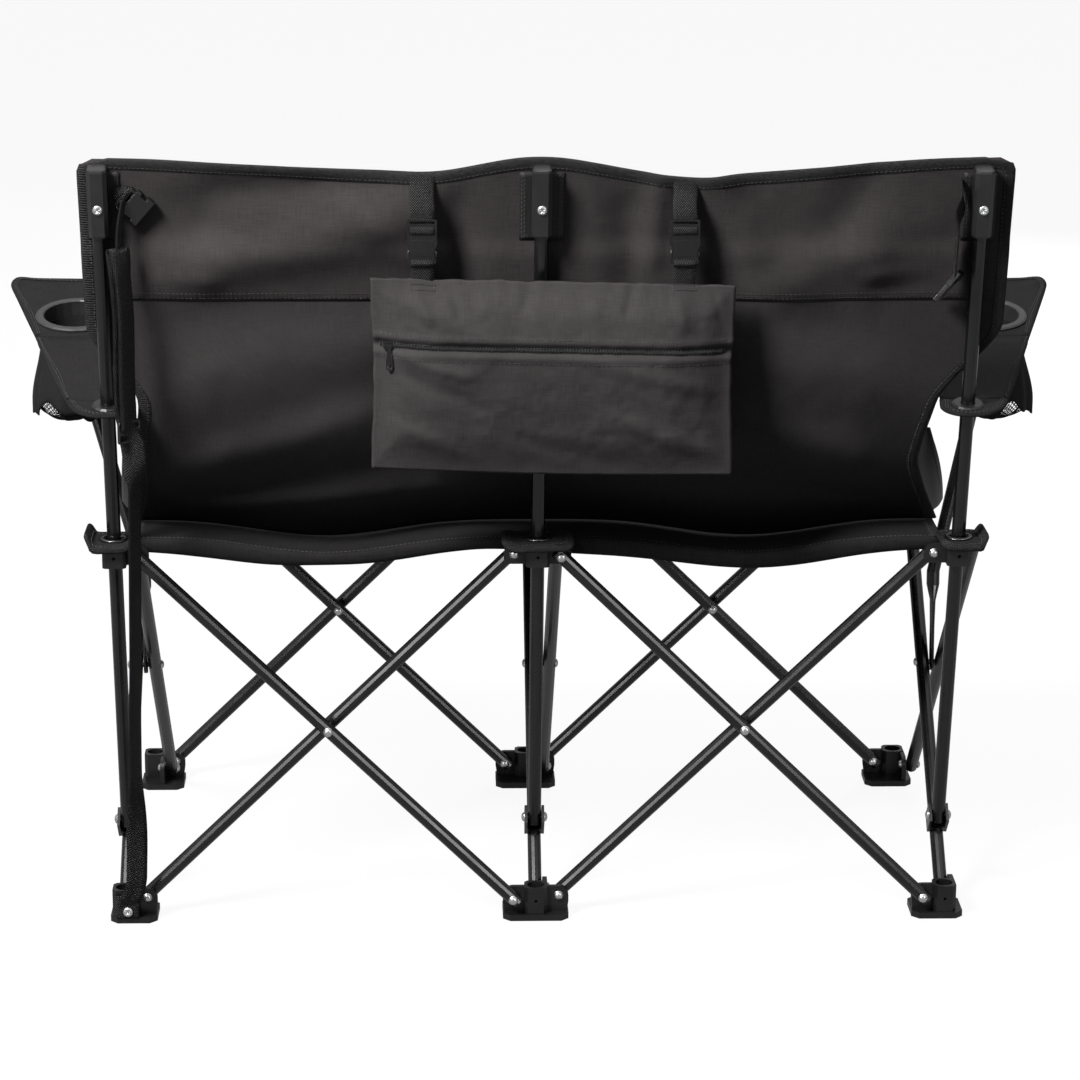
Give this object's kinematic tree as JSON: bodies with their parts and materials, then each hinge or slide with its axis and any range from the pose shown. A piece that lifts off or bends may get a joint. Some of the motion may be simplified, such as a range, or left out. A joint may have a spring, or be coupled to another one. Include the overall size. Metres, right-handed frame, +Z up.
{
  "type": "folding camping loveseat",
  "caption": "Two-seat folding camping chair: cross-tube steel frame on moulded feet, sling seat and back, cup-holder arms and a carry bag hung behind the back.",
  "frame": {"origin": "on the ground in the middle of the part's box", "axes": "+Z up, +Y the way the sitters face, +X to the sitters' right"},
  "size_m": [1.172, 0.5658, 0.852],
  "materials": {
    "coated_tube": "satin",
    "moulded_plastic": "satin",
    "cap_plastic": "satin",
    "ring_plastic": "satin",
    "back_cloth": "matte",
    "seat_cloth": "matte",
    "bag_cloth": "matte",
    "webbing": "matte",
    "buckle_plastic": "gloss"
  },
  "bodies": {
    "foot_rear_centre": {"foot_rear_centre": "moulded_plastic"},
    "foot_rear_left": {"foot_rear_left": "moulded_plastic"},
    "foot_rear_right": {"foot_rear_right": "moulded_plastic"},
    "foot_front_left": {"foot_front_left": "moulded_plastic"},
    "foot_front_centre": {"foot_front_centre": "moulded_plastic"},
    "foot_front_right": {"foot_front_right": "moulded_plastic"},
    "hub_rear_left": {"hub_rear_left": "moulded_plastic"},
    "hub_rear_centre": {"hub_rear_centre": "moulded_plastic"},
    "hub_rear_right": {"hub_rear_right": "moulded_plastic"},
    "bay_tube_rear_left_near": {"bay_tube_rear_left_near": "coated_tube"},
    "bay_tube_rear_left_far": {"bay_tube_rear_left_far": "coated_tube"},
    "bay_tube_rear_right_near": {"bay_tube_rear_right_near": "coated_tube"},
    "bay_tube_rear_right_far": {"bay_tube_rear_right_far": "coated_tube"},
    "hub_front_left": {"hub_front_left": "moulded_plastic"},
    "hub_front_centre": {"hub_front_centre": "moulded_plastic"},
    "hub_front_right": {"hub_front_right": "moulded_plastic"},
    "bay_tube_front_left_near": {"bay_tube_front_left_near": "coated_tube"},
    "bay_tube_front_left_far": {"bay_tube_front_left_far": "coated_tube"},
    "bay_tube_front_right_near": {"bay_tube_front_right_near": "coated_tube"},
    "bay_tube_front_right_far": {"bay_tube_front_right_far": "coated_tube"},
    "side_tube_left_rising": {"side_tube_left_rising": "coated_tube", "upright_bracket_left": "coated_tube"},
    "side_tube_left_falling": {"side_tube_left_falling": "coated_tube"},
    "side_tube_centre_rising": {"side_tube_centre_rising": "coated_tube", "upright_bracket_centre": "coated_tube"},
    "side_tube_centre_falling": {"side_tube_centre_falling": "coated_tube"},
    "side_tube_right_rising": {"side_tube_right_rising": "coated_tube", "upright_bracket_right": "coated_tube"},
    "side_tube_right_falling": {"side_tube_right_falling": "coated_tube"},
    "upright_left": {"upright_left": "coated_tube", "upright_cap_left": "cap_plastic", "carry_strap": "webbing", "carry_buckle_socket": "buckle_plastic"},
    "upright_centre": {"upright_centre": "coated_tube", "upright_cap_centre": "cap_plastic", "back_panel": "back_cloth"},
    "upright_right": {"upright_right": "coated_tube", "upright_cap_right": "cap_plastic", "short_strap": "webbing", "short_buckle_plug": "buckle_plastic"},
    "arm_left": {"arm_strut_left": "coated_tube", "arm_panel_left": "seat_cloth"},
    "arm_eyelet_left": {"arm_eyelet_left": "moulded_plastic"},
    "cup_left": {"cup_ring_left": "ring_plastic", "cup_sleeve_left": "seat_cloth"},
    "arm_right": {"arm_strut_right": "coated_tube", "arm_panel_right": "seat_cloth"},
    "arm_eyelet_right": {"arm_eyelet_right": "moulded_plastic"},
    "cup_right": {"cup_ring_right": "ring_plastic", "cup_sleeve_right": "seat_cloth"},
    "seat_panel_rear": {"seat_panel_rear": "seat_cloth"},
    "seat_panel_front": {"seat_panel_front": "seat_cloth"},
    "carry_bag": {"bag_body": "bag_cloth", "bag_strap_left": "webbing", "bag_strap_right": "webbing", "bag_buckle_left": "buckle_plastic", "bag_buckle_right": "buckle_plastic"},
    "bag_zip_slider": {"bag_zip_slider": "buckle_plastic"}
  },
  "joints": [
    {"name": "fold", "type": "hinge", "parent": "foot_rear_centre", "child": "bay_tube_rear_left_near", "pos_m": [-0.025, -0.18496, 0.025], "axis": [0, 1, 0], "range_deg": [0, 31], "deforming": ["back_panel", "seat_panel_rear", "seat_panel_front", "arm_panel_left", "arm_panel_right", "carry_strap", "short_strap"]},
    {"name": "rear_left_near_hub", "type": "hinge", "parent": "bay_tube_rear_left_near", "child": "hub_rear_left", "pos_m": [-0.425, -0.18496, 0.415], "axis": [0, 1, 0], "range_deg": [-31.05, 0]},
    {"name": "rear_left_cross", "type": "hinge", "parent": "bay_tube_rear_left_near", "child": "bay_tube_rear_left_far", "pos_m": [-0.225, -0.18496, 0.22], "axis": [0, 1, 0], "range_deg": [-62.05, 0]},
    {"name": "rear_left_far_foot", "type": "hinge", "parent": "bay_tube_rear_left_far", "child": "foot_rear_left", "pos_m": [-0.425, -0.18496, 0.025], "axis": [0, 1, 0], "range_deg": [0, 31.05]},
    {"name": "rear_left_far_hub", "type": "hinge", "parent": "bay_tube_rear_left_far", "child": "hub_rear_centre", "pos_m": [-0.025, -0.18496, 0.415], "axis": [0, 1, 0], "range_deg": [0, 31.05]},
    {"name": "rear_right_far_foot", "type": "hinge", "parent": "foot_rear_centre", "child": "bay_tube_rear_right_far", "pos_m": [0.025, -0.18496, 0.025], "axis": [0, 1, 0], "range_deg": [-31.05, 0]},
    {"name": "rear_right_far_hub", "type": "hinge", "parent": "bay_tube_rear_right_far", "child": "hub_rear_right", "pos_m": [0.425, -0.18496, 0.415], "axis": [0, 1, 0], "range_deg": [0, 31.05]},
    {"name": "rear_right_cross", "type": "hinge", "parent": "bay_tube_rear_right_far", "child": "bay_tube_rear_right_near", "pos_m": [0.225, -0.18496, 0.22], "axis": [0, 1, 0], "range_deg": [0, 62.05]},
    {"name": "rear_right_near_foot", "type": "hinge", "parent": "bay_tube_rear_right_near", "child": "foot_rear_right", "pos_m": [0.425, -0.18496, 0.025], "axis": [0, 1, 0], "range_deg": [-31.05, 0]},
    {"name": "side_centre_rising_foot", "type": "hinge", "parent": "foot_rear_centre", "child": "side_tube_centre_rising", "pos_m": [0.0105, -0.15996, 0.025], "axis": [1, 0, 0], "range_deg": [0, 31.05]},
    {"name": "side_centre_rising_hub", "type": "hinge", "parent": "side_tube_centre_rising", "child": "hub_front_centre", "pos_m": [0.0105, 0.24004, 0.415], "axis": [1, 0, 0], "range_deg": [-31.05, 0]},
    {"name": "side_centre_cross", "type": "hinge", "parent": "side_tube_centre_rising", "child": "side_tube_centre_falling", "pos_m": [0.0105, 0.04004, 0.22], "axis": [1, 0, 0], "range_deg": [-62.05, 0]},
    {"name": "side_centre_falling_foot", "type": "hinge", "parent": "side_tube_centre_falling", "child": "foot_front_centre", "pos_m": [0.0105, 0.24004, 0.025], "axis": [1, 0, 0], "range_deg": [0, 31.05]},
    {"name": "side_left_rising_foot", "type": "hinge", "parent": "foot_rear_left", "child": "side_tube_left_rising", "pos_m": [-0.4395, -0.15996, 0.025], "axis": [1, 0, 0], "range_deg": [0, 31.05]},
    {"name": "side_left_rising_hub", "type": "hinge", "parent": "side_tube_left_rising", "child": "hub_front_left", "pos_m": [-0.4395, 0.24004, 0.415], "axis": [1, 0, 0], "range_deg": [-31.05, 0]},
    {"name": "side_left_falling_hub", "type": "hinge", "parent": "hub_rear_left", "child": "side_tube_left_falling", "pos_m": [-0.4395, -0.15996, 0.415], "axis": [1, 0, 0], "range_deg": [-31.05, 0]},
    {"name": "side_left_falling_foot", "type": "hinge", "parent": "side_tube_left_falling", "child": "foot_front_left", "pos_m": [-0.4395, 0.24004, 0.025], "axis": [1, 0, 0], "range_deg": [0, 31.05]},
    {"name": "side_right_rising_foot", "type": "hinge", "parent": "foot_rear_right", "child": "side_tube_right_rising", "pos_m": [0.4605, -0.15996, 0.025], "axis": [1, 0, 0], "range_deg": [0, 31.05]},
    {"name": "side_right_rising_hub", "type": "hinge", "parent": "side_tube_right_rising", "child": "hub_front_right", "pos_m": [0.4605, 0.24004, 0.415], "axis": [1, 0, 0], "range_deg": [-31.05, 0]},
    {"name": "side_right_falling_hub", "type": "hinge", "parent": "hub_rear_right", "child": "side_tube_right_falling", "pos_m": [0.4605, -0.15996, 0.415], "axis": [1, 0, 0], "range_deg": [-31.05, 0]},
    {"name": "side_right_falling_foot", "type": "hinge", "parent": "side_tube_right_falling", "child": "foot_front_right", "pos_m": [0.4605, 0.24004, 0.025], "axis": [1, 0, 0], "range_deg": [0, 31.05]},
    {"name": "front_left_near_foot", "type": "hinge", "parent": "foot_front_centre", "child": "bay_tube_front_left_near", "pos_m": [-0.025, 0.26504, 0.025], "axis": [0, 1, 0], "range_deg": [0, 31.05]},
    {"name": "front_left_far_foot", "type": "hinge", "parent": "foot_front_left", "child": "bay_tube_front_left_far", "pos_m": [-0.425, 0.26504, 0.025], "axis": [0, 1, 0], "range_deg": [-31.05, 0]},
    {"name": "front_right_near_foot", "type": "hinge", "parent": "foot_front_right", "child": "bay_tube_front_right_near", "pos_m": [0.425, 0.26504, 0.025], "axis": [0, 1, 0], "range_deg": [0, 31.05]},
    {"name": "front_right_far_foot", "type": "hinge", "parent": "foot_front_centre", "child": "bay_tube_front_right_far", "pos_m": [0.025, 0.26504, 0.025], "axis": [0, 1, 0], "range_deg": [-31.05, 0]},
    {"name": "upright_left_pivot", "type": "hinge", "parent": "side_tube_left_rising", "child": "upright_left", "pos_m": [-0.45, -0.12303, 0.09313], "axis": [1, 0, 0], "range_deg": [-39.7, 0]},
    {"name": "upright_centre_pivot", "type": "hinge", "parent": "side_tube_centre_rising", "child": "upright_centre", "pos_m": [0, -0.12303, 0.09313], "axis": [1, 0, 0], "range_deg": [-39.7, 0]},
    {"name": "upright_right_pivot", "type": "hinge", "parent": "side_tube_right_rising", "child": "upright_right", "pos_m": [0.45, -0.12303, 0.09313], "axis": [1, 0, 0], "range_deg": [-39.7, 0]},
    {"name": "arm_left_pivot", "type": "hinge", "parent": "side_tube_left_rising", "child": "arm_left", "pos_m": [-0.4395, 0.04004, 0.22], "axis": [1, 0, 0], "range_deg": [-29.81, 0]},
    {"name": "arm_left_eyelet_slide", "type": "slide", "parent": "upright_left", "child": "arm_eyelet_left", "axis": [0, -0.1889, 0.982], "range_m": [0, 0.07067]},
    {"name": "cup_left_slide", "type": "slide", "parent": "arm_left", "child": "cup_left", "axis": [0, 0.982, 0.1889], "range_m": [0, 0.0103]},
    {"name": "arm_right_pivot", "type": "hinge", "parent": "side_tube_right_rising", "child": "arm_right", "pos_m": [0.4605, 0.04004, 0.22], "axis": [1, 0, 0], "range_deg": [-29.81, 0]},
    {"name": "arm_right_eyelet_slide", "type": "slide", "parent": "upright_right", "child": "arm_eyelet_right", "axis": [0, -0.1889, 0.982], "range_m": [0, 0.07067]},
    {"name": "cup_right_slide", "type": "slide", "parent": "arm_right", "child": "cup_right", "axis": [0, 0.982, 0.1889], "range_m": [0, 0.0103]},
    {"name": "seat_rear_lift", "type": "hinge", "parent": "hub_rear_centre", "child": "seat_panel_rear", "pos_m": [0, -0.17196, 0.4279], "axis": [1, 0, 0], "range_deg": [0, 65.15]},
    {"name": "seat_front_lift", "type": "hinge", "parent": "hub_front_centre", "child": "seat_panel_front", "pos_m": [0, 0.26504, 0.4279], "axis": [1, 0, 0], "range_deg": [-62.98, 0]},
    {"name": "bag_swing", "type": "hinge", "parent": "upright_centre", "child": "carry_bag", "pos_m": [0.012, -0.25794, 0.834], "axis": [1, 0, 0], "range_deg": [-20, 0]},
    {"name": "bag_zip_slide", "type": "slide", "parent": "carry_bag", "child": "bag_zip_slider", "axis": [1, 0, 0], "range_m": [0, 0.3]}
  ],
  "couplings": [
    {"joint": "rear_left_near_hub", "follows": "fold", "ratio": -1},
    {"joint": "rear_left_cross", "follows": "fold", "ratio": -2},
    {"joint": "rear_left_far_foot", "follows": "fold", "ratio": 1},
    {"joint": "rear_left_far_hub", "follows": "fold", "ratio": 1},
    {"joint": "rear_right_far_foot", "follows": "fold", "ratio": -1},
    {"joint": "rear_right_far_hub", "follows": "fold", "ratio": 1},
    {"joint": "rear_right_cross", "follows": "fold", "ratio": 2},
    {"joint": "rear_right_near_foot", "follows": "fold", "ratio": -1},
    {"joint": "side_centre_rising_foot", "follows": "fold", "ratio": 1},
    {"joint": "side_centre_rising_hub", "follows": "fold", "ratio": -1},
    {"joint": "side_centre_cross", "follows": "fold", "ratio": -2},
    {"joint": "side_centre_falling_foot", "follows": "fold", "ratio": 1},
    {"joint": "side_left_rising_foot", "follows": "fold", "ratio": 1},
    {"joint": "side_left_rising_hub", "follows": "fold", "ratio": -1},
    {"joint": "side_left_falling_hub", "follows": "fold", "ratio": -1},
    {"joint": "side_left_falling_foot", "follows": "fold", "ratio": 1},
    {"joint": "side_right_rising_foot", "follows": "fold", "ratio": 1},
    {"joint": "side_right_rising_hub", "follows": "fold", "ratio": -1},
    {"joint": "side_right_falling_hub", "follows": "fold", "ratio": -1},
    {"joint": "side_right_falling_foot", "follows": "fold", "ratio": 1},
    {"joint": "front_left_near_foot", "follows": "fold", "ratio": 1},
    {"joint": "front_left_far_foot", "follows": "fold", "ratio": -1},
    {"joint": "front_right_near_foot", "follows": "fold", "ratio": 1},
    {"joint": "front_right_far_foot", "follows": "fold", "ratio": -1},
    {"joint": "upright_left_pivot", "follows": "fold", "ratio": -1.279},
    {"joint": "upright_centre_pivot", "follows": "fold", "ratio": -1.279},
    {"joint": "upright_right_pivot", "follows": "fold", "ratio": -1.279},
    {"joint": "arm_left_pivot", "follows": "fold", "ratio": -0.96},
    {"joint": "arm_left_eyelet_slide", "follows": "fold", "m_per_rad": 0.13006},
    {"joint": "cup_left_slide", "follows": "fold", "m_per_rad": 0.01848},
    {"joint": "arm_right_pivot", "follows": "fold", "ratio": -0.96},
    {"joint": "arm_right_eyelet_slide", "follows": "fold", "m_per_rad": 0.13006},
    {"joint": "cup_right_slide", "follows": "fold", "m_per_rad": 0.01848},
    {"joint": "seat_rear_lift", "follows": "fold", "ratio": 2.1},
    {"joint": "seat_front_lift", "follows": "fold", "ratio": -2.03}
  ]
}
